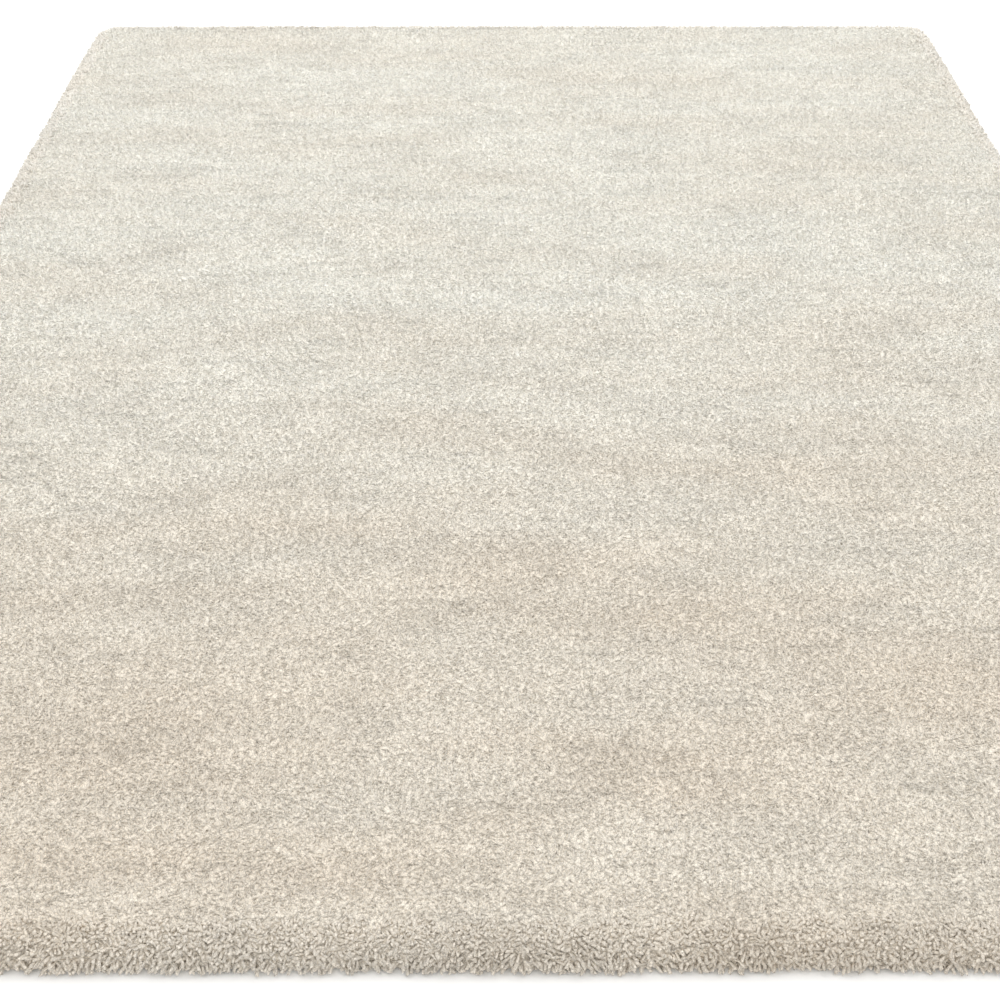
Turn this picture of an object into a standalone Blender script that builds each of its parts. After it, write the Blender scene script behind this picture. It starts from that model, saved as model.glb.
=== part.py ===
"""Shag rug, 160 x 230 cm, lying flat: ground and cut pile woven as one piece.

The solid is the room that the pile fills: a flat underside, a top that rises and
falls a little with the pile, and a round edge where the outer tufts lean out over
the end of the ground and fall to the floor.

Frame: +Z up, origin at the middle of the underside, width on X, length on Y.
"""

import math

import bmesh
import bpy
from mathutils import Vector, noise

# Driving dimensions, in metres.
WIDTH = 1.600  # side to side, over the pile
LENGTH = 2.300  # end to end, over the pile
HEIGHT = 0.035  # underside to the tips of the pile
SELVEDGE = 0.002  # upright rise at the very edge, where the ground weave ends
ROLL_WIDTH = 0.042  # how far in from the edge the top starts to fall away
CORNER_RADIUS = 0.052  # of the outline, seen from above

# How finely the soft surface is divided.
ROLL_SEGMENTS = 6  # steps down the round edge
CORNER_SEGMENTS = 6  # steps round each corner
CELL = 0.056  # largest spacing of the lines across the top

# Unevenness of the pile.
LAY_DEPTH = 0.0022  # how far the lowest dents lie under the highest tips
LAY_SPAN = 0.210  # usual distance from one dent to the next
EDGE_DEPTH = 0.004  # how far the outline draws in where the tufts reach out least
EDGE_SPAN = 0.160  # usual distance from one such place to the next
EDGE_FADE = 0.180  # how far inward the drawn-in edge is felt

PILE_COLOUR = (0.68, 0.62, 0.53, 1.0)
PILE_ROUGHNESS = 0.95


def clear_scene():
    for obj in list(bpy.data.objects):
        bpy.data.objects.remove(obj, do_unlink=True)


def pile_material():
    material = bpy.data.materials.new("cream_cut_pile")
    material.use_nodes = True
    surface = material.node_tree.nodes["Principled BSDF"]
    surface.inputs["Base Color"].default_value = PILE_COLOUR
    surface.inputs["Roughness"].default_value = PILE_ROUGHNESS
    surface.inputs["Metallic"].default_value = 0.0
    return material


def slab(bm):
    """A block as tall as the edge's round is wide, so that the round can be a plain bevel."""
    block_height = ROLL_WIDTH + SELVEDGE
    bmesh.ops.create_cube(bm, size=1.0)
    bmesh.ops.scale(bm, vec=(WIDTH, LENGTH, block_height), verts=bm.verts)
    bmesh.ops.translate(bm, vec=(0.0, 0.0, block_height / 2), verts=bm.verts)
    return block_height


def is_upright(edge):
    return abs(edge.verts[0].co.z - edge.verts[1].co.z) > ROLL_WIDTH / 2


def round_corners(bm):
    uprights = [edge for edge in bm.edges if is_upright(edge)]
    bmesh.ops.bevel(
        bm, geom=uprights, offset=CORNER_RADIUS, segments=CORNER_SEGMENTS, profile=0.5, affect="EDGES"
    )


def round_top_edge(bm, block_height):
    rim = [edge for edge in bm.edges if all(vert.co.z > block_height - SELVEDGE for vert in edge.verts)]
    bmesh.ops.bevel(bm, geom=rim, offset=ROLL_WIDTH, segments=ROLL_SEGMENTS, profile=0.5, affect="EDGES")


def cut_lines(bm, axis, side):
    """Divides the whole block at even spacing between the corners, across the given axis."""
    reach = side / 2 - CORNER_RADIUS
    cells = math.ceil(2 * reach / CELL)
    for step in range(1, cells):
        place = Vector()
        place[axis] = -reach + 2 * reach * step / cells
        across = Vector()
        across[axis] = 1.0
        everything = bm.verts[:] + bm.edges[:] + bm.faces[:]
        bmesh.ops.bisect_plane(bm, geom=everything, dist=1e-5, plane_co=place, plane_no=across)


def join_underside(bm):
    """The underside is one flat face again, because only the top is uneven."""
    flat = [face for face in bm.faces if all(abs(vert.co.z) < 1e-6 for vert in face.verts)]
    bmesh.ops.dissolve_faces(bm, faces=flat, use_verts=False)


def drawn_in(place, side, along):
    """How far a point moves towards the middle, so that the outline wavers a little."""
    from_edge = side / 2 - abs(place)
    felt = max(0.0, 1.0 - from_edge / EDGE_FADE)
    which_edge = math.copysign(3.7, place)
    waver = 0.5 + 0.5 * noise.noise(Vector((along / EDGE_SPAN, which_edge, side)))
    return -math.copysign(EDGE_DEPTH * waver * felt, place)


def lay_unevenly(bm):
    """Sinks the top where the pile lies lower, and draws the edge in, on the upper side alone."""
    for vert in bm.verts:
        x, y, z = vert.co
        share = z / HEIGHT
        dent = 0.5 + 0.5 * noise.noise(Vector((x / LAY_SPAN, 0.6 * y / LAY_SPAN, 1.3)))
        vert.co.z = z - LAY_DEPTH * dent * share
        vert.co.x = x + drawn_in(x, WIDTH, y)
        vert.co.y = y + drawn_in(y, LENGTH, x)


def fit_to_size(bm):
    """Brings the outline back to the stated width, length and height, centred on the origin."""
    for axis, side in enumerate((WIDTH, LENGTH, HEIGHT)):
        places = [vert.co[axis] for vert in bm.verts]
        low = min(places)
        factor = side / (max(places) - low)
        start = 0.0 if axis == 2 else -side / 2
        for vert in bm.verts:
            vert.co[axis] = start + (vert.co[axis] - low) * factor


def make_rug(collection):
    bm = bmesh.new()
    block_height = slab(bm)
    round_corners(bm)
    round_top_edge(bm, block_height)
    bmesh.ops.scale(bm, vec=(1.0, 1.0, HEIGHT / block_height), verts=bm.verts)
    cut_lines(bm, 0, WIDTH)
    cut_lines(bm, 1, LENGTH)
    join_underside(bm)
    lay_unevenly(bm)
    fit_to_size(bm)
    bmesh.ops.recalc_face_normals(bm, faces=bm.faces)
    mesh = bpy.data.meshes.new("rug")
    bm.to_mesh(mesh)
    bm.free()
    mesh.shade_smooth()
    mesh.set_sharp_from_angle(angle=math.radians(40))
    mesh.materials.append(pile_material())
    rug = bpy.data.objects.new("rug", mesh)
    collection.objects.link(rug)
    return rug


def main():
    clear_scene()
    collection = bpy.data.collections.new("shag_rug")
    bpy.context.scene.collection.children.link(collection)
    make_rug(collection)


main()
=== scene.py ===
"""Shag rug, laid flat: a woven ground with a thick cut pile of twisted yarn in blended shades.

The ground is one thin cloth. The lower pile stands so close on it that it reads as one
body. Geometry Nodes plant the free upper ends of the tufts all over that body: each one
leans with the lay of the pile, and round the border they stand outwards and sink to the
floor under their own weight.
"""

import math

import bmesh
import bpy
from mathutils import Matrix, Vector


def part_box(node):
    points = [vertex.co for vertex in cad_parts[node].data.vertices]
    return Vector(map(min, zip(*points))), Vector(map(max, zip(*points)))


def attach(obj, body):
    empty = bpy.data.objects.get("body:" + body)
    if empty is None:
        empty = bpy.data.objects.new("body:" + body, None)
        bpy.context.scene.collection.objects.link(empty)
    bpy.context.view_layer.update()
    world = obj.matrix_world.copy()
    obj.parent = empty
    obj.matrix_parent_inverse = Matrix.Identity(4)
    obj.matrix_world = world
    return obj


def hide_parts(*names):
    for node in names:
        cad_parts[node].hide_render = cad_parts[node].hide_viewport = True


bl_info = {
    "name": "Shag rug",
    "version": (1, 0, 0),
    "blender": (4, 5, 0),
    "location": "3D View > Sidebar > Shag rug",
    "description": "Builds a cut-pile shag rug around its packed frame",
    "category": "Object",
}

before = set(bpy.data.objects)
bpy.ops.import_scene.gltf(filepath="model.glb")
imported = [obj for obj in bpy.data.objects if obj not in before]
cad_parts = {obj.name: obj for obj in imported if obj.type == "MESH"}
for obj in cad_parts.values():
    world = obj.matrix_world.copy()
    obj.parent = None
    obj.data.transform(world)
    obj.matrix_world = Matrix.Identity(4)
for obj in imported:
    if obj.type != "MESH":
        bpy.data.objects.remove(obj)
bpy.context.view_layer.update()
RUG_LOW, RUG_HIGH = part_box("rug")

BODY = "root"
NODE = "rug"
MM = 0.001
BAKE_MAP = "OFBake"  # one cell of this map for each tuft, so no two tufts share a place
WAVE_PERIOD = math.pi / 10  # a wave texture of scale 1 repeats at this distance
MERGE_DISTANCE = 0.05 * MM  # corners of the solid closer than this are one corner
UNDERSIDE = -0.9  # a face whose normal points lower than this is on the underside
EXTRA_AT_FLOOR = 0.7  # the outside is drawn in by this share more where it meets the floor
NO_INNER_LIMIT, NO_OUTER_LIMIT = 10.0, -1.0  # further in and further out than any part of the rug
TUFT_SIDES = 3
TUFT_FOOT = -0.3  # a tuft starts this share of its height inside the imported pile
CUT_SLANT = 0.12  # how far a blunt tuft's cut end slants, as a share of its height
LOWEST_TUFT = 0.4 * MM  # above the floor
FLOOR_GAP = 0.3 * MM  # from the floor up to the underside of the rug
FLOOR_HALF = 60.0  # metres from the middle of the floor to its sides
LAMP_SIDES = (3.0, 2.0)
LAMP_PLACE = (0.0, 1.7, 2.4)  # above the back end

# Shades of yarn blended all over the pile: piece name, finish name and sRGB colour.
FIELD_YARNS = (
    ("pile_ivory", "heatset_yarn_ivory", "#F5F4EB"),
    ("pile_cream", "heatset_yarn_cream", "#F5F3E9"),
    ("pile_oat", "heatset_yarn_oat", "#F2F0E6"),
    ("pile_chalk", "heatset_yarn_chalk", "#F4F3EC"),
    ("pile_sand", "heatset_yarn_sand", "#F0ECE1"),
    ("pile_shell", "heatset_yarn_shell", "#F2EFE6"),
)
BORDER_YARNS = (
    ("border_cream", "heatset_yarn_border_cream", "#F3F0E8"),
    ("border_sand", "heatset_yarn_border_sand", "#EFEAE0"),
)
PACKED_YARN = "#F4F2E9"
WARM_DYE_AND_SHADE = "#E6DBCB"  # what the shades drift towards in the dyed streaks, and in the painted shade at the front end


def linear(hex_colour):
    """An sRGB hex colour as linear red, green, blue and alpha."""
    values = []
    for start in (1, 3, 5):
        share = int(hex_colour[start : start + 2], 16) / 255
        values.append(share / 12.92 if share <= 0.04045 else ((share + 0.055) / 1.055) ** 2.4)
    return (*values, 1.0)


def add_node(tree, kind, inputs=None, **settings):
    """Adds a node with its settings, and gives each input a value or links it.

    An input is linked to a given socket, or to the first output in use of a given node.
    """
    made = tree.nodes.new(kind)
    for name, value in settings.items():
        setattr(made, name, value)
    for key, value in (inputs or {}).items():
        if isinstance(value, bpy.types.Node):
            value = next(output for output in value.outputs if output.enabled)
        if isinstance(value, bpy.types.NodeSocket):
            tree.links.new(value, made.inputs[key])
        else:
            made.inputs[key].default_value = value
    return made


# ---------------------------------------------------------------- settings


class GroundSettings(bpy.types.PropertyGroup):
    """Sizes of the woven ground"""

    overhang: bpy.props.FloatProperty(
        name="Overhang",
        description="How far the pile reaches past the edge of the ground",
        default=0.0238,
        min=0.0,
        unit="LENGTH",
        subtype="DISTANCE",
    )
    thickness: bpy.props.FloatProperty(
        name="Thickness",
        description="Thickness of the ground with its latex coat",
        default=0.0025,
        min=0.001,
        unit="LENGTH",
        subtype="DISTANCE",
    )
    colour: bpy.props.FloatVectorProperty(
        name="Colour",
        description="Colour of the coated jute and cotton back",
        default=linear("#CDBFA6")[:3],
        size=3,
        min=0.0,
        max=1.0,
        subtype="COLOR",
    )


class PileSettings(bpy.types.PropertyGroup):
    """Sizes and lay of the cut pile"""

    free_depth: bpy.props.FloatProperty(
        name="Free depth",
        description="How far the loose ends rise over the packed lower pile",
        default=0.0032,
        min=0.001,
        unit="LENGTH",
        subtype="DISTANCE",
    )
    border_depth: bpy.props.FloatProperty(
        name="Border depth",
        description="How far the loose ends stand out from the packed pile where the border faces sideways",
        default=0.0085,
        min=0.001,
        unit="LENGTH",
        subtype="DISTANCE",
    )
    spacing: bpy.props.FloatProperty(
        name="Tuft spacing",
        description="Least distance from one tuft to the next",
        default=0.00285,
        min=0.002,
        unit="LENGTH",
        subtype="DISTANCE",
    )
    border_spacing: bpy.props.FloatProperty(
        name="Border tuft spacing",
        description="Least distance from one tuft to the next in the border",
        default=0.0024,
        min=0.002,
        unit="LENGTH",
        subtype="DISTANCE",
    )
    border_width: bpy.props.FloatProperty(
        name="Border width",
        description="How far in from the outline the round border reaches",
        default=0.036,
        min=0.0,
        unit="LENGTH",
        subtype="DISTANCE",
    )
    length: bpy.props.FloatProperty(
        name="Tuft length",
        description="Length of the free end of a tuft",
        default=0.0048,
        min=0.003,
        unit="LENGTH",
        subtype="DISTANCE",
    )
    border_length: bpy.props.FloatProperty(
        name="Border tuft length",
        description="Length of the free end of a tuft in the border",
        default=0.0082,
        min=0.003,
        unit="LENGTH",
        subtype="DISTANCE",
    )
    width: bpy.props.FloatProperty(
        name="Tuft width",
        description="Width of a tuft at its foot, where its yarns spread into the packed pile",
        default=0.0042,
        min=0.0005,
        unit="LENGTH",
        subtype="DISTANCE",
    )
    border_tuft_width: bpy.props.FloatProperty(
        name="Border tuft width",
        description="Width of a tuft at its foot in the border",
        default=0.0040,
        min=0.0005,
        unit="LENGTH",
        subtype="DISTANCE",
    )
    lay: bpy.props.FloatProperty(
        name="Lay",
        description="How strongly the tufts of one patch lean together",
        default=1.2,
        min=0.0,
        subtype="FACTOR",
    )
    stray: bpy.props.FloatProperty(
        name="Stray lean",
        description="How strongly each tuft leans its own way",
        default=2.1,
        min=0.0,
        subtype="FACTOR",
    )
    droop: bpy.props.FloatProperty(
        name="Droop",
        description="How strongly the tufts at the border sink towards the floor",
        default=0.45,
        min=0.0,
        subtype="FACTOR",
    )


class StageSettings(bpy.types.PropertyGroup):
    """Floor, lights and camera"""

    lens: bpy.props.FloatProperty(
        name="Lens",
        description="Focal length of the camera, in millimetres",
        default=62.24,
        unit="CAMERA",
    )
    camera_height: bpy.props.FloatProperty(
        name="Camera height",
        description="Height of the camera above the floor",
        default=1.138,
        unit="LENGTH",
        subtype="DISTANCE",
    )
    camera_back: bpy.props.FloatProperty(
        name="Camera distance",
        description="How far the camera stands back from the rug's front end, along the floor",
        default=0.962,
        unit="LENGTH",
        subtype="DISTANCE",
    )
    camera_side: bpy.props.FloatProperty(
        name="Camera offset",
        description="How far the camera stands to the side of the rug's middle line",
        default=-0.028,
        unit="LENGTH",
        subtype="DISTANCE",
    )
    camera_tilt: bpy.props.FloatProperty(
        name="Camera tilt",
        description="How far the camera looks down from the horizontal",
        default=math.radians(34.2),
        unit="ROTATION",
        subtype="ANGLE",
    )
    camera_turn: bpy.props.FloatProperty(
        name="Camera turn",
        description="How far the camera is turned to the right of the rug's long axis",
        default=math.radians(0.1),
        unit="ROTATION",
        subtype="ANGLE",
    )
    horizon: bpy.props.FloatProperty(
        name="Side light",
        description="Strength of the even light from all round, at floor level",
        default=0.84,
        min=0.0,
    )
    zenith: bpy.props.FloatProperty(
        name="Top light",
        description="Strength of the even light from straight above",
        default=1.64,
        min=0.0,
    )
    overhead: bpy.props.FloatProperty(
        name="Overhead light",
        description="Power of the large lamp above the far end, in watts",
        default=26.0,
        min=0.0,
        unit="POWER",
    )


# ---------------------------------------------------------------- materials


def new_material(name):
    material = bpy.data.materials.new(name)
    material.use_nodes = True
    return material, material.node_tree, material.node_tree.nodes["Principled BSDF"]


def colour_with_painted_shade(tree, hex_colour):
    """The yarn's colour, warmer in soft streaks across the width, with painted shade laid over it.

    Painted shade makes it warmer and darker towards the front end, and a little darker in the short
    partings that run across the width and where a patch of the pile lies away from the light.
    """
    place = add_node(tree, "ShaderNodeTexCoord").outputs["Object"]
    length_ways = add_node(tree, "ShaderNodeSeparateXYZ", {0: place}).outputs[1]
    # Painted shade: warmer and darker towards the front end, by place along the rug.
    painted_front_shade = add_node(
        tree,
        "ShaderNodeMapRange",
        {"Value": length_ways, "From Min": 0.0, "From Max": -0.8, "To Min": 0.10, "To Max": 0.66},
    )
    # Streaks about 480 mm across the width and 150 mm along the length.
    streaks = add_node(
        tree, "ShaderNodeMapping", {"Vector": place, "Location": (0.35, 0.1, 0.0), "Scale": (1.6, 5.0, 0.0)}
    )
    drift = add_node(
        tree, "ShaderNodeTexNoise", {"Vector": streaks, "Scale": 1.3, "Detail": 2.0, "Roughness": 0.6}
    )
    share = add_node(
        tree, "ShaderNodeMapRange", {"Value": drift, "From Min": 0.40, "From Max": 0.66, "To Max": 0.28}
    )
    share = add_node(tree, "ShaderNodeMath", {0: share, 1: painted_front_shade}, operation="ADD")
    # Painted shade in partings about 110 mm across the width and 14 mm along the length.
    rows = add_node(tree, "ShaderNodeMapping", {"Vector": place, "Scale": (9.0, 70.0, 0.0)})
    partings = add_node(
        tree, "ShaderNodeTexNoise", {"Vector": rows, "Scale": 1.0, "Detail": 1.0, "Roughness": 0.6}
    )
    light = add_node(
        tree, "ShaderNodeMapRange", {"Value": partings, "From Min": 0.30, "From Max": 0.42, "To Min": 0.91}
    )
    # Painted shade on patches about 140 mm across the width and 77 mm along the length, where the pile lies
    # away from the light.
    spread = add_node(tree, "ShaderNodeMapping", {"Vector": place, "Scale": (7.0, 13.0, 0.0)})
    patches = add_node(tree, "ShaderNodeTexNoise", {"Vector": spread, "Scale": 1.0, "Detail": 1.0})
    laid = add_node(
        tree, "ShaderNodeMapRange", {"Value": patches, "From Min": 0.35, "From Max": 0.6, "To Min": 0.94}
    )
    light = add_node(tree, "ShaderNodeMath", {0: light, 1: laid}, operation="MULTIPLY")
    coloured = add_node(
        tree, "ShaderNodeMix", {0: share, 6: linear(hex_colour), 7: linear(WARM_DYE_AND_SHADE)}, data_type="RGBA"
    ).outputs[2]
    shaded = add_node(tree, "ShaderNodeVectorMath", {0: coloured, "Scale": light}, operation="SCALE")
    return shaded.outputs[0]


def crevice_shade_mask(tree, place):
    """Plies and cut ends of the yarn, 2.6 mm apart, as a mask for the painted shade in the crevices
    between them: 0 in the deepest crevices, 1 on top.

    The crevices are deep in some places and nearly closed in others.
    """
    crevices = add_node(
        tree, "ShaderNodeTexVoronoi", {"Vector": place, "Scale": 1 / (2.6 * MM)}, feature="DISTANCE_TO_EDGE"
    )
    filled = add_node(tree, "ShaderNodeMapRange", {"Value": crevices, "From Max": 0.13})
    clumps = add_node(tree, "ShaderNodeTexNoise", {"Vector": place, "Scale": 1 / (5 * MM), "Detail": 0.0})
    closed = add_node(
        tree, "ShaderNodeMapRange", {"Value": clumps, "From Min": 0.60, "From Max": 0.40, "To Max": 0.6}
    )
    return add_node(tree, "ShaderNodeMath", {0: filled, 1: closed}, operation="MAXIMUM").outputs[0]


def yarn_material(name, hex_colour):
    """Heatset polypropylene yarn of two plies, cut: matt and fluffy.

    Each tuft is a little lighter or darker than the next. Painted shade darkens it towards its root,
    where light hardly reaches, and in the crevices between its plies and cut ends.
    """
    material, tree, surface = new_material(name)
    place = add_node(tree, "ShaderNodeTexCoord").outputs["Object"]
    shade = add_node(tree, "ShaderNodeAttribute", attribute_name="shade").outputs["Fac"]
    along = add_node(tree, "ShaderNodeAttribute", attribute_name="along").outputs["Fac"]
    tone = add_node(tree, "ShaderNodeMapRange", {"Value": shade, "To Min": 0.96, "To Max": 1.0})
    # Painted shade towards the root of each tuft.
    depth = add_node(tree, "ShaderNodeMapRange", {"Value": along, "To Min": 0.97})
    plies = crevice_shade_mask(tree, place)
    # Painted shade in the crevices between plies and cut ends.
    groove = add_node(tree, "ShaderNodeMapRange", {"Value": plies, "To Min": 0.52})
    value = add_node(tree, "ShaderNodeMath", {0: tone, 1: depth}, operation="MULTIPLY")
    value = add_node(tree, "ShaderNodeMath", {0: value, 1: groove}, operation="MULTIPLY")
    coloured = colour_with_painted_shade(tree, hex_colour)
    colour = add_node(tree, "ShaderNodeVectorMath", {0: coloured, "Scale": value}, operation="SCALE")
    tree.links.new(colour.outputs[0], surface.inputs["Base Color"])
    surface.inputs["Roughness"].default_value = 0.9
    surface.inputs["Specular IOR Level"].default_value = 0.2
    return material


def packed_yarn_material():
    """The same yarn lower down, where the tufts press together: seen only between the loose ends."""
    material, tree, surface = new_material("packed_heatset_yarn")
    place = add_node(tree, "ShaderNodeTexCoord").outputs["Object"]
    ends = crevice_shade_mask(tree, place)
    # Painted shade in the crevices between the packed yarn ends.
    value = add_node(tree, "ShaderNodeMapRange", {"Value": ends, "To Min": 0.50, "To Max": 0.99})
    coloured = colour_with_painted_shade(tree, PACKED_YARN)
    colour = add_node(tree, "ShaderNodeVectorMath", {0: coloured, "Scale": value}, operation="SCALE")
    tree.links.new(colour.outputs[0], surface.inputs["Base Color"])
    surface.inputs["Roughness"].default_value = 0.95
    surface.inputs["Specular IOR Level"].default_value = 0.1
    return material


def ground_material(colour):
    """Flat-woven jute and cotton under a thin latex coat: dull, with the ribs of the weft showing."""
    material, tree, surface = new_material("coated_jute_back")
    place = add_node(tree, "ShaderNodeTexCoord").outputs["Object"]
    weft = add_node(
        tree,
        "ShaderNodeTexWave",
        {"Vector": place, "Scale": WAVE_PERIOD / (2.6 * MM), "Distortion": 0.5, "Detail": 1.0},
        bands_direction="Y",
    ).outputs["Fac"]
    warp = add_node(
        tree,
        "ShaderNodeTexWave",
        {"Vector": place, "Scale": WAVE_PERIOD / (5.2 * MM), "Distortion": 0.5, "Detail": 1.0},
        bands_direction="X",
    ).outputs["Fac"]
    weave = add_node(tree, "ShaderNodeMath", {0: weft, 1: warp}, operation="MULTIPLY")
    flecks = add_node(tree, "ShaderNodeTexNoise", {"Vector": place, "Scale": 1 / (9 * MM), "Detail": 4.0})
    value = add_node(tree, "ShaderNodeMath", {0: weave, 1: 0.22, 2: 0.68}, operation="MULTIPLY_ADD")
    value = add_node(tree, "ShaderNodeMath", {0: flecks, 1: 0.35, 2: value}, operation="MULTIPLY_ADD")
    shaded = add_node(tree, "ShaderNodeVectorMath", {0: colour, "Scale": value}, operation="SCALE")
    bump = add_node(tree, "ShaderNodeBump", {"Height": weave, "Distance": 0.6 * MM, "Strength": 0.8})
    tree.links.new(shaded.outputs[0], surface.inputs["Base Color"])
    tree.links.new(bump.outputs[0], surface.inputs["Normal"])
    surface.inputs["Roughness"].default_value = 0.85
    surface.inputs["Specular IOR Level"].default_value = 0.3
    return material


def floor_material():
    """Seamless studio floor, painted matt white."""
    material, _, surface = new_material("matt_white_floor")
    surface.inputs["Base Color"].default_value = linear("#F6F6F5")
    surface.inputs["Roughness"].default_value = 0.9
    surface.inputs["Specular IOR Level"].default_value = 0.1
    return material


# ---------------------------------------------------------------- pieces


def link(obj):
    bpy.context.scene.collection.objects.link(obj)
    return obj


def finish_mesh(bm, name, material=None):
    """Turns the bmesh into a smooth mesh and frees it."""
    mesh = bpy.data.meshes.new(name)
    bm.to_mesh(mesh)
    bm.free()
    mesh.shade_smooth()
    if material:
        mesh.materials.append(material)
    return mesh


def declare(piece):
    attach(piece, BODY)
    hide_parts(NODE)


def sunk_outside(depth, side_depth, lowest):
    """The rug's outside without its underside, moved inwards and kept above lowest.

    It moves by depth where it faces up and by side_depth where it faces sideways, and
    further near the floor. Each vertex keeps its old distance from the outline, as the
    layer "inward".
    """
    height = RUG_HIGH.z - RUG_LOW.z
    bm = bmesh.new()
    bm.from_mesh(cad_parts[NODE].data)
    bmesh.ops.remove_doubles(bm, verts=bm.verts, dist=MERGE_DISTANCE)
    underside = [face for face in bm.faces if face.normal.z < UNDERSIDE]
    bmesh.ops.delete(bm, geom=underside, context="FACES")
    bm.normal_update()
    inward = bm.verts.layers.float.new("inward")
    for vert in bm.verts:
        vert[inward] = min(RUG_HIGH.x - abs(vert.co.x), RUG_HIGH.y - abs(vert.co.y))
        sideways = 1.0 - max(vert.normal.z, 0.0) ** 2
        near_floor = 1.0 - (vert.co.z - RUG_LOW.z) / height
        sunk = depth + (side_depth - depth) * sideways
        vert.co -= vert.normal * sunk * (1.0 + EXTRA_AT_FLOOR * near_floor**2)
        vert.co.z = max(vert.co.z, lowest)
    return bm


def rim_edges(bm):
    return [edge for edge in bm.edges if edge.is_boundary]


def make_bed(pile, lowest):
    """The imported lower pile, closed underneath."""
    bm = sunk_outside(pile.free_depth, pile.border_depth, lowest)
    bmesh.ops.contextual_create(bm, geom=rim_edges(bm))
    bmesh.ops.recalc_face_normals(bm, faces=bm.faces)
    mesh = finish_mesh(bm, "packed_pile", packed_yarn_material())
    return link(bpy.data.objects.new("packed_pile", mesh))


def make_ground(settings):
    """The woven ground: a thin closed cloth, flat on the floor, with its flat size and area."""
    depth = settings.overhang / (1.0 + EXTRA_AT_FLOOR)
    bm = sunk_outside(depth, depth, RUG_LOW.z)
    rim = set(rim_edges(bm))
    bmesh.ops.delete(bm, geom=[edge for edge in bm.edges if edge not in rim], context="EDGES")
    for vert in bm.verts:
        vert.co.z = RUG_LOW.z
    cloth = bmesh.ops.contextual_create(bm, geom=bm.edges[:])["faces"][0]
    area = cloth.calc_area()
    places = [[vert.co[axis] for vert in bm.verts] for axis in (0, 1)]
    flat = tuple(max(along) - min(along) for along in places)
    raised = bmesh.ops.extrude_face_region(bm, geom=[cloth])["geom"]
    for part in raised:
        if isinstance(part, bmesh.types.BMVert):
            part.co.z += settings.thickness
    bmesh.ops.recalc_face_normals(bm, faces=bm.faces)
    mesh = finish_mesh(bm, "ground", ground_material(settings.colour))
    mesh.set_sharp_from_angle(angle=math.radians(40))
    return link(bpy.data.objects.new("ground", mesh)), flat, area


def tuft_ring(bm, width, height, slope):
    """The corners of one level of a tuft, which rises by slope from each corner to the next."""
    corners = []
    for side in range(TUFT_SIDES):
        angle = 2 * math.pi * side / TUFT_SIDES
        place = (0.5 * width * math.cos(angle), 0.5 * width * math.sin(angle), height + slope * (side - 1))
        corners.append(bm.verts.new(place))
    return corners


def make_tuft(name, blunt):
    """One tuft's free end, three-sided: a unit wide at its foot and a unit high.

    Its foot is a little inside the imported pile. It ends in a point, or in a slanting cut
    where blunt is the share of its width that is left.
    """
    bm = bmesh.new()
    along = bm.verts.layers.float.new("along")
    bake_map = bm.loops.layers.uv.new(BAKE_MAP)
    low = tuft_ring(bm, 1.0, TUFT_FOOT, 0.0)
    if blunt:
        high = tuft_ring(bm, blunt, 1.0, CUT_SLANT)
    else:
        high = [bm.verts.new((0.0, 0.0, 1.0))] * TUFT_SIDES
    for vert in set(high):
        vert[along] = 1.0
    for side in range(TUFT_SIDES):
        after = (side + 1) % TUFT_SIDES
        corners = [low[side], low[after], high[after]]
        corners += [high[side]] if blunt else []
        face = bm.faces.new(corners)
        for loop in face.loops:
            turned = side + (1.0 if loop.vert in (low[after], high[after]) else 0.0)
            loop[bake_map].uv = (turned / TUFT_SIDES, 0.8 if loop.vert in high else 0.0)
    if blunt:
        cut = bm.faces.new(high)
        for loop, place in zip(cut.loops, ((0.0, 0.84), (0.5, 1.0), (1.0, 0.84))):
            loop[bake_map].uv = place
    return bpy.data.objects.new(name, finish_mesh(bm, name))


PILE_INPUTS = (
    ("Geometry", "NodeSocketGeometry"),
    ("Tuft", "NodeSocketObject"),
    ("Material", "NodeSocketMaterial"),
    ("Inner Limit", "NodeSocketFloat"),
    ("Outer Limit", "NodeSocketFloat"),
    ("Spacing", "NodeSocketFloat"),
    ("Yarns", "NodeSocketInt"),
    ("Yarn", "NodeSocketInt"),
    ("Length", "NodeSocketFloat"),
    ("Side Length", "NodeSocketFloat"),
    ("Width", "NodeSocketFloat"),
    ("Side Width", "NodeSocketFloat"),
    ("Lay", "NodeSocketFloat"),
    ("Stray", "NodeSocketFloat"),
    ("Droop", "NodeSocketFloat"),
    ("Floor", "NodeSocketFloat"),
    ("Seed", "NodeSocketInt"),
)


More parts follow.
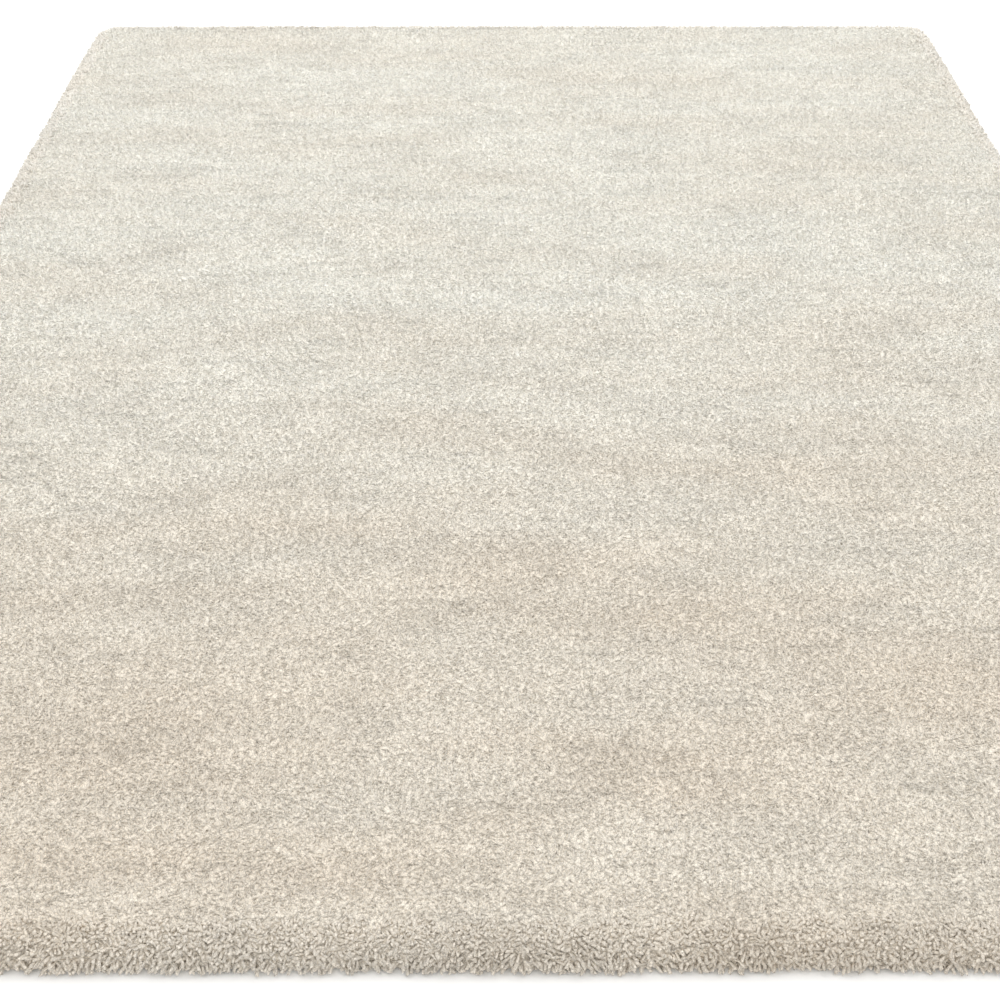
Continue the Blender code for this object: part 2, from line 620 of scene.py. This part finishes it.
def yarn_roots(tree, given):
    """Where one yarn's tufts stand on the part of the surface that is planted, and the normals there."""
    inward = add_node(
        tree, "GeometryNodeInputNamedAttribute", {"Name": "inward"}, data_type="FLOAT"
    ).outputs[0]
    past = add_node(tree, "ShaderNodeMath", {0: inward, 1: given["Inner Limit"]}, operation="LESS_THAN")
    before = add_node(
        tree, "ShaderNodeMath", {0: inward, 1: given["Outer Limit"]}, operation="GREATER_THAN"
    )
    both = add_node(tree, "ShaderNodeMath", {0: past, 1: before}, operation="MULTIPLY")
    planted = add_node(
        tree,
        "GeometryNodeSeparateGeometry",
        {"Geometry": given["Geometry"], "Selection": both},
        domain="FACE",
    ).outputs[0]

    # Far more roots are tried than fit, so that the spacing alone sets how close they stand.
    most = add_node(tree, "ShaderNodeMath", {0: given["Spacing"], 1: -2.0}, operation="POWER")
    most = add_node(tree, "ShaderNodeMath", {0: most, 1: 4.0}, operation="MULTIPLY")
    roots = add_node(
        tree,
        "GeometryNodeDistributePointsOnFaces",
        {"Mesh": planted, "Distance Min": given["Spacing"], "Density Max": most, "Seed": given["Seed"]},
        distribute_method="POISSON",
    ).outputs

    # Each yarn draws its own share of the roots.
    last_yarn = add_node(tree, "ShaderNodeMath", {0: given["Yarns"], 1: 1.0}, operation="SUBTRACT")
    drawn = add_node(
        tree, "FunctionNodeRandomValue", {4: 0, 5: last_yarn, "Seed": given["Seed"]}, data_type="INT"
    ).outputs[2]
    is_yarn = add_node(tree, "ShaderNodeMath", {0: drawn, 1: given["Yarn"], 2: 0.5}, operation="COMPARE")
    points = add_node(
        tree,
        "GeometryNodeSeparateGeometry",
        {"Geometry": roots["Points"], "Selection": is_yarn},
        domain="POINT",
    ).outputs[0]
    return points, roots["Normal"]


def shared_lay(tree, place, given):
    """The lean that neighbouring tufts share.

    It comes from broad drifts about 200 mm wide, and from tousled patches about 70 by 35 mm
    with partings between them, whose outlines ripple every 40 mm or so.
    """
    drifts = add_node(
        tree, "ShaderNodeTexNoise", {"Vector": place, "Scale": 5.0, "Detail": 2.0}
    ).outputs["Color"]
    ripple = add_node(
        tree, "ShaderNodeTexNoise", {"Vector": place, "Scale": 26.0, "Detail": 2.0}
    ).outputs["Color"]
    shift = add_node(tree, "ShaderNodeVectorMath", {0: ripple, 1: (0.5, 0.5, 0.5)}, operation="SUBTRACT")
    warped = add_node(
        tree, "ShaderNodeVectorMath", {0: shift, 1: (0.05, 0.05, 0.05), 2: place}, operation="MULTIPLY_ADD"
    )
    long_across = add_node(
        tree, "ShaderNodeVectorMath", {0: warped, 1: (0.6, 1.2, 1.0)}, operation="MULTIPLY"
    )
    patches = add_node(
        tree, "ShaderNodeTexVoronoi", {"Vector": long_across, "Scale": 24.0}
    ).outputs["Color"]
    blend = add_node(
        tree, "ShaderNodeVectorMath", {0: drifts, 1: (1.6, 1.6, 0.0), 2: patches}, operation="MULTIPLY_ADD"
    )
    centred = add_node(tree, "ShaderNodeVectorMath", {0: blend, 1: (1.3, 1.3, 0.5)}, operation="SUBTRACT")
    level = add_node(tree, "ShaderNodeVectorMath", {0: centred, 1: (1.0, 1.0, 0.0)}, operation="MULTIPLY")
    return add_node(tree, "ShaderNodeVectorMath", {0: level, "Scale": given["Lay"]}, operation="SCALE")


def tuft_direction(tree, place, normal, given):
    """Which way each tuft points: out of the surface, with the lay, its own lean and the droop added."""
    own = add_node(
        tree,
        "FunctionNodeRandomValue",
        {0: (-1, -1, -0.4), 1: (1, 1, 0.4), "Seed": 3},
        data_type="FLOAT_VECTOR",
    )
    stray = add_node(tree, "ShaderNodeVectorMath", {0: own, "Scale": given["Stray"]}, operation="SCALE")
    upright = add_node(tree, "ShaderNodeSeparateXYZ", {0: normal}).outputs[2]
    turned = add_node(tree, "ShaderNodeMath", {0: upright, 1: 1.0}, operation="SUBTRACT")
    down = add_node(tree, "ShaderNodeMath", {0: turned, 1: given["Droop"]}, operation="MULTIPLY")
    droop = add_node(tree, "ShaderNodeCombineXYZ", {2: down})
    lean = normal
    for part in (shared_lay(tree, place, given), stray, droop):
        lean = add_node(tree, "ShaderNodeVectorMath", {0: lean, 1: part}, operation="ADD")
    return add_node(tree, "ShaderNodeVectorMath", {0: lean}, operation="NORMALIZE")


def tuft_rotation(tree, place, direction, length, width):
    """Turns each tuft its own way about its length, and holds it up where it would reach the floor."""
    height = add_node(tree, "ShaderNodeSeparateXYZ", {0: place}).outputs[2]
    room = add_node(tree, "ShaderNodeMath", {0: width, 1: height}, operation="SUBTRACT")
    steepest = add_node(tree, "ShaderNodeMath", {0: room, 1: length}, operation="DIVIDE")
    parts = add_node(tree, "ShaderNodeSeparateXYZ", {0: direction}).outputs
    held_up = add_node(tree, "ShaderNodeMath", {0: parts[2], 1: steepest}, operation="MAXIMUM")
    lean = add_node(tree, "ShaderNodeCombineXYZ", {0: parts[0], 1: parts[1], 2: held_up})
    facing = add_node(tree, "FunctionNodeAlignRotationToVector", {"Vector": lean}, axis="Z")
    spin = add_node(
        tree, "FunctionNodeRandomValue", {2: 0.0, 3: 2 * math.pi, "Seed": 8}, data_type="FLOAT"
    ).outputs[1]
    spun = add_node(tree, "ShaderNodeCombineXYZ", {2: spin})
    return add_node(
        tree, "FunctionNodeRotateRotation", {"Rotation": facing, "Rotate By": spun}, rotation_space="LOCAL"
    )


def tuft_size(tree, place, length, width):
    """Each tuft's own width and height, which swells and sinks in lumps about 30 mm apart."""
    stout = add_node(
        tree, "FunctionNodeRandomValue", {2: 0.85, 3: 1.15, "Seed": 9}, data_type="FLOAT"
    ).outputs[1]
    wide = add_node(tree, "ShaderNodeMath", {0: stout, 1: width}, operation="MULTIPLY")
    tall = add_node(
        tree, "FunctionNodeRandomValue", {2: 0.85, 3: 1.12, "Seed": 4}, data_type="FLOAT"
    ).outputs[1]
    swell = add_node(tree, "ShaderNodeTexNoise", {"Vector": place, "Scale": 30.0, "Detail": 4.0})
    lumps = add_node(tree, "ShaderNodeMath", {0: swell, 1: 0.5}, operation="SUBTRACT")
    reach = add_node(tree, "ShaderNodeMath", {0: tall, 1: lumps}, operation="ADD")
    high = add_node(tree, "ShaderNodeMath", {0: reach, 1: length}, operation="MULTIPLY")
    return add_node(tree, "ShaderNodeCombineXYZ", {0: wide, 1: wide, 2: high})


def map_cells(tree, points):
    """Each tuft's cell in a square map, filled row by row, and how many cells a row has."""
    number = add_node(tree, "GeometryNodeInputIndex")
    count = add_node(
        tree, "GeometryNodeAttributeDomainSize", {"Geometry": points}, component="POINTCLOUD"
    ).outputs["Point Count"]
    side = add_node(tree, "ShaderNodeMath", {0: count}, operation="SQRT")
    in_row = add_node(tree, "ShaderNodeMath", {0: side}, operation="CEIL")
    column = add_node(tree, "ShaderNodeMath", {0: number, 1: in_row}, operation="FLOORED_MODULO")
    rows = add_node(tree, "ShaderNodeMath", {0: number, 1: in_row}, operation="DIVIDE")
    row = add_node(tree, "ShaderNodeMath", {0: rows}, operation="FLOOR")
    return add_node(tree, "ShaderNodeCombineXYZ", {0: column, 1: row}), in_row


def store_on_points(tree, points, name, value, data_type):
    return add_node(
        tree,
        "GeometryNodeStoreNamedAttribute",
        {"Geometry": points, "Name": name, "Value": value},
        data_type=data_type,
        domain="POINT",
    )


def fit_bake_map(tree, joined, in_row):
    """Moves each tuft's own map into its cell, with a margin all round."""
    own_map = add_node(
        tree, "GeometryNodeInputNamedAttribute", {"Name": BAKE_MAP}, data_type="FLOAT_VECTOR"
    )
    cell = add_node(tree, "GeometryNodeInputNamedAttribute", {"Name": "cell"}, data_type="FLOAT_VECTOR")
    inset = add_node(
        tree,
        "ShaderNodeVectorMath",
        {0: own_map, 1: (0.84, 0.84, 0.0), 2: (0.08, 0.08, 0.0)},
        operation="MULTIPLY_ADD",
    )
    moved = add_node(tree, "ShaderNodeVectorMath", {0: inset, 1: cell}, operation="ADD")
    share = add_node(tree, "ShaderNodeMath", {0: 1.0, 1: in_row}, operation="DIVIDE")
    fitted = add_node(tree, "ShaderNodeVectorMath", {0: moved, "Scale": share}, operation="SCALE")
    joined = add_node(
        tree,
        "GeometryNodeStoreNamedAttribute",
        {"Geometry": joined, "Name": BAKE_MAP, "Value": fitted},
        data_type="FLOAT2",
        domain="CORNER",
    )
    return add_node(tree, "GeometryNodeRemoveAttribute", {"Geometry": joined, "Name": "cell"})


def pile_tree():
    """Plants one yarn's tufts on a surface, leans each one by the lay of the pile, and joins them."""
    tree = bpy.data.node_groups.new("Cut pile", "GeometryNodeTree")
    tree.is_modifier = True
    tree.interface.new_socket("Geometry", in_out="OUTPUT", socket_type="NodeSocketGeometry")
    for name, kind in PILE_INPUTS:
        tree.interface.new_socket(name, in_out="INPUT", socket_type=kind)
    given = add_node(tree, "NodeGroupInput").outputs
    points, normal = yarn_roots(tree, given)
    place = add_node(tree, "GeometryNodeInputPosition")

    # The tufts' length and width change smoothly to those of the border as the surface turns down.
    upright = add_node(tree, "ShaderNodeSeparateXYZ", {0: normal}).outputs[2]
    squared = add_node(tree, "ShaderNodeMath", {0: upright, 1: upright}, operation="MULTIPLY")
    sideways = add_node(tree, "ShaderNodeMath", {0: 1.0, 1: squared}, operation="SUBTRACT")
    length = add_node(
        tree,
        "ShaderNodeMapRange",
        {"Value": sideways, "To Min": given["Length"], "To Max": given["Side Length"]},
    )
    width = add_node(
        tree,
        "ShaderNodeMapRange",
        {"Value": sideways, "To Min": given["Width"], "To Max": given["Side Width"]},
    )
    direction = tuft_direction(tree, place, normal, given)
    rotation = tuft_rotation(tree, place, direction, length, width)
    size = tuft_size(tree, place, length, width)

    cell, in_row = map_cells(tree, points)
    shade = add_node(
        tree, "FunctionNodeRandomValue", {2: 0.0, 3: 1.0, "Seed": 6}, data_type="FLOAT"
    ).outputs[1]
    points = store_on_points(tree, points, "cell", cell, "FLOAT_VECTOR")
    points = store_on_points(tree, points, "shade", shade, "FLOAT")
    tuft = add_node(tree, "GeometryNodeObjectInfo", {"Object": given["Tuft"]}).outputs["Geometry"]
    copies = add_node(
        tree,
        "GeometryNodeInstanceOnPoints",
        {"Points": points, "Instance": tuft, "Rotation": rotation, "Scale": size},
    )
    joined = add_node(tree, "GeometryNodeRealizeInstances", {"Geometry": copies})

    # What would go through the floor rests on it.
    split = add_node(tree, "ShaderNodeSeparateXYZ", {0: place}).outputs
    above = add_node(tree, "ShaderNodeMath", {0: split[2], 1: given["Floor"]}, operation="MAXIMUM")
    rested = add_node(tree, "ShaderNodeCombineXYZ", {0: split[0], 1: split[1], 2: above})
    joined = add_node(tree, "GeometryNodeSetPosition", {"Geometry": joined, "Position": rested})

    joined = fit_bake_map(tree, joined, in_row)
    coloured = add_node(tree, "GeometryNodeSetMaterial", {"Geometry": joined, "Material": given["Material"]})
    add_node(tree, "NodeGroupOutput", {0: coloured})
    return tree


def grow(name, tree, surface, values):
    """Evaluates the tree on the surface and returns its result as a plain mesh object."""
    seedbed = link(bpy.data.objects.new(name + "_seedbed", surface))
    modifier = seedbed.modifiers.new("Cut pile", "NODES")
    modifier.node_group = tree
    for key, value in values.items():
        modifier[tree.interface.items_tree[key].identifier] = value
    bpy.context.view_layer.update()
    graph = bpy.context.evaluated_depsgraph_get()
    mesh = bpy.data.meshes.new_from_object(seedbed.evaluated_get(graph), depsgraph=graph)
    mesh.name = name
    if mesh.materials[0] is None:
        mesh.materials.pop(index=0)
    bpy.data.objects.remove(seedbed)
    return link(bpy.data.objects.new(name, mesh))


# ---------------------------------------------------------------- operators


class RUG_OT_pile(bpy.types.Operator):
    """Plant the cut pile, one piece for each shade of yarn"""

    bl_idname = "rug.pile"
    bl_label = "Plant the pile"

    def execute(self, context):
        pile, ground = context.scene.rug_pile, context.scene.rug_ground
        tree = pile_tree()
        lowest = RUG_LOW.z + ground.thickness
        surface = finish_mesh(sunk_outside(pile.free_depth, pile.border_depth, lowest), "planting_surface")
        common = {
            "Length": pile.length,
            "Side Length": pile.border_length,
            "Width": pile.width,
            "Side Width": pile.border_tuft_width,
            "Lay": pile.lay,
            "Stray": pile.stray,
            "Droop": pile.droop,
            "Floor": RUG_LOW.z + LOWEST_TUFT,
        }
        border = pile.border_width
        zones = (
            (FIELD_YARNS, make_tuft("field_tuft", 0.0), border, NO_INNER_LIMIT, pile.spacing, 7),
            (BORDER_YARNS, make_tuft("border_tuft", 0.85), NO_OUTER_LIMIT, border, pile.border_spacing, 77),
        )
        for yarns, tuft, outer, inner, spacing, seed in zones:
            for number, (name, finish, colour) in enumerate(yarns):
                values = {
                    "Material": yarn_material(finish, colour),
                    "Outer Limit": outer,
                    "Inner Limit": inner,
                    "Spacing": spacing,
                    "Tuft": tuft,
                    "Yarns": len(yarns),
                    "Yarn": number,
                    "Seed": seed,
                }
                declare(grow(name, tree, surface, common | values))
        return {"FINISHED"}


class RUG_OT_packed_pile(bpy.types.Operator):
    """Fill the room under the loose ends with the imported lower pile"""

    bl_idname = "rug.packed_pile"
    bl_label = "Pack the lower pile"

    def execute(self, context):
        declare(make_bed(context.scene.rug_pile, RUG_LOW.z + context.scene.rug_ground.thickness / 2))
        return {"FINISHED"}


class RUG_OT_ground(bpy.types.Operator):
    """Weave the ground that holds the pile"""

    bl_idname = "rug.ground"
    bl_label = "Weave the ground"

    def execute(self, context):
        ground, flat, area = make_ground(context.scene.rug_ground)
        declare(ground)
        return {"FINISHED"}


class RUG_OT_stage(bpy.types.Operator):
    """Set out the floor, the lights and the camera"""

    bl_idname = "rug.stage"
    bl_label = "Set the stage"

    def execute(self, context):
        settings = context.scene.rug_stage
        bm = bmesh.new()
        bmesh.ops.create_grid(bm, x_segments=1, y_segments=1, size=FLOOR_HALF)
        floor = link(bpy.data.objects.new("floor", finish_mesh(bm, "floor", floor_material())))
        floor.location.z = RUG_LOW.z - FLOOR_GAP

        world = bpy.data.worlds.new("studio")
        world.use_nodes = True
        tree = world.node_tree
        direction = add_node(tree, "ShaderNodeTexCoord").outputs["Generated"]
        upwards = add_node(tree, "ShaderNodeSeparateXYZ", {0: direction})
        strength = add_node(
            tree,
            "ShaderNodeMapRange",
            {"Value": upwards.outputs[2], "To Min": settings.horizon, "To Max": settings.zenith},
        )
        sky = tree.nodes["Background"]
        sky.inputs["Color"].default_value = (1.0, 1.0, 1.0, 1.0)
        tree.links.new(strength.outputs[0], sky.inputs["Strength"])
        context.scene.world = world

        lamp = bpy.data.lights.new("overhead", "AREA")
        lamp.shape = "RECTANGLE"
        lamp.size, lamp.size_y = LAMP_SIDES
        lamp.energy = settings.overhead
        overhead = link(bpy.data.objects.new("overhead", lamp))
        overhead.location = LAMP_PLACE

        camera = bpy.data.cameras.new("camera")
        camera.lens = settings.lens
        camera.sensor_width = 36.0
        viewer = link(bpy.data.objects.new("camera", camera))
        viewer.location = (
            settings.camera_side,
            RUG_LOW.y - settings.camera_back,
            RUG_LOW.z + settings.camera_height,
        )
        viewer.rotation_euler = (math.pi / 2 - settings.camera_tilt, 0.0, -settings.camera_turn)
        context.scene.camera = viewer
        context.scene.view_settings.view_transform = "Standard"
        return {"FINISHED"}


class RUG_PT_panel(bpy.types.Panel):
    """Shag rug"""

    bl_label = "Shag rug"
    bl_space_type = "VIEW_3D"
    bl_region_type = "UI"
    bl_category = "Shag rug"

    def draw(self, context):
        for settings in (context.scene.rug_ground, context.scene.rug_pile, context.scene.rug_stage):
            box = self.layout.box()
            for name in settings.__annotations__:
                box.prop(settings, name)
        for operator in (RUG_OT_packed_pile, RUG_OT_pile, RUG_OT_ground, RUG_OT_stage):
            self.layout.operator(operator.bl_idname)


CLASSES = (
    GroundSettings,
    PileSettings,
    StageSettings,
    RUG_OT_packed_pile,
    RUG_OT_pile,
    RUG_OT_ground,
    RUG_OT_stage,
    RUG_PT_panel,
)


def register():
    for made in CLASSES:
        bpy.utils.register_class(made)
    bpy.types.Scene.rug_ground = bpy.props.PointerProperty(type=GroundSettings)
    bpy.types.Scene.rug_pile = bpy.props.PointerProperty(type=PileSettings)
    bpy.types.Scene.rug_stage = bpy.props.PointerProperty(type=StageSettings)


def unregister():
    del bpy.types.Scene.rug_stage
    del bpy.types.Scene.rug_pile
    del bpy.types.Scene.rug_ground
    for made in reversed(CLASSES):
        bpy.utils.unregister_class(made)


def main():
    register()
    bpy.ops.rug.packed_pile()
    bpy.ops.rug.pile()
    bpy.ops.rug.ground()
    bpy.ops.rug.stage()


if __name__ == "__main__":
    main()
